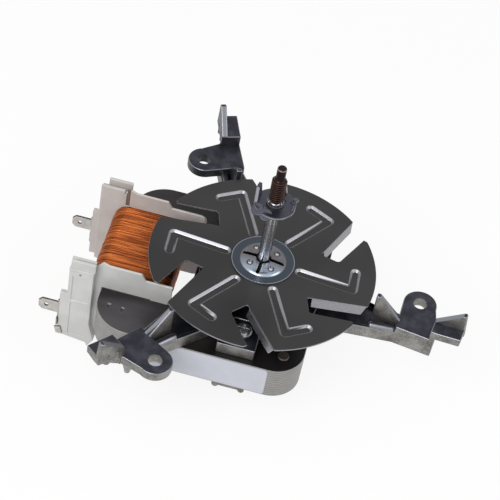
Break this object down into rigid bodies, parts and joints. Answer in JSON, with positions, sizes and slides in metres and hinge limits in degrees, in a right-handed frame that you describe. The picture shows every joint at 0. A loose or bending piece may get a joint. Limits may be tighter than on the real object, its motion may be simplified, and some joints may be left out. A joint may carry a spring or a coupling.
{
  "type": "oven fan motor",
  "caption": "Shaded-pole oven fan motor: cast three-armed bracket with ears, copper coil on a moulded bobbin, pressed cooling fan and a threaded shaft end.",
  "frame": {"origin": "on the shaft's axis, in the plane of the three mounting ears' top faces", "axes": "+Z along the shaft towards its threaded end, +X along the stator's length away from the coil, +Y away from the face that carries the label"},
  "size_m": [0.1653, 0.1465, 0.1001],
  "materials": {
    "cast_front": "as-cast, dark satin tops, lighter grained sides",
    "cast_rear": "as-cast, grained",
    "stator_sheets": "dark oxidised sheet faces, lighter stacked edges",
    "core_sheets": "dark oxidised sheet faces",
    "bobbin_nylon": "moulded, off-white",
    "coil_wire": "enamelled copper wire, glossy",
    "tab_front": "tinned",
    "tab_rear": "tinned",
    "shading_copper": "dull copper",
    "bush_front": "oil-soaked sintered bronze",
    "bush_rear": "oil-soaked sintered bronze",
    "clip_front": "spring steel",
    "clip_rear": "spring steel",
    "felt_front": "oiled felt",
    "felt_rear": "oiled felt",
    "screw_zinc": "zinc plated",
    "rivet_steel": "oxidised",
    "label_sheet": "bare pale sticker",
    "shaft_steel": "ground, darker at its threaded end",
    "rotor_sheets": "turned",
    "cage_aluminium": "die-cast",
    "sleeve_front": "moulded",
    "sleeve_rear": "moulded",
    "fan_sheet_steel": "charcoal satin coat",
    "hub_steel": "zinc plated, bright dome",
    "washer_zinc": "zinc plated",
    "ring_steel": "bright"
  },
  "bodies": {
    "stator": {"front_bracket": "cast_front", "rear_bracket": "cast_rear", "stator_core": "stator_sheets", "coil_core": "core_sheets", "coil_bobbin": "bobbin_nylon", "coil_winding": "coil_wire", "front_terminal": "tab_front", "rear_terminal": "tab_rear", "shading_rings": "shading_copper", "front_bearing": "bush_front", "rear_bearing": "bush_rear", "front_bearing_clip": "clip_front", "rear_bearing_clip": "clip_rear", "front_oil_felt": "felt_front", "rear_oil_felt": "felt_rear", "clamp_screws": "screw_zinc", "stack_rivets": "rivet_steel", "rating_label": "label_sheet"},
    "rotor": {"motor_shaft": "shaft_steel", "rotor_laminations": "rotor_sheets", "rotor_cage": "cage_aluminium", "front_thrust_sleeve": "sleeve_front", "rear_thrust_sleeve": "sleeve_rear", "cooling_fan": "fan_sheet_steel", "fan_hub": "hub_steel", "drive_washer": "washer_zinc", "retaining_ring": "ring_steel"}
  },
  "joints": [
    {"name": "shaft_spin", "type": "hinge", "parent": "stator", "child": "rotor", "pos_m": [0, 0, 0], "axis": [0, 0, 1], "continuous": true}
  ]
}
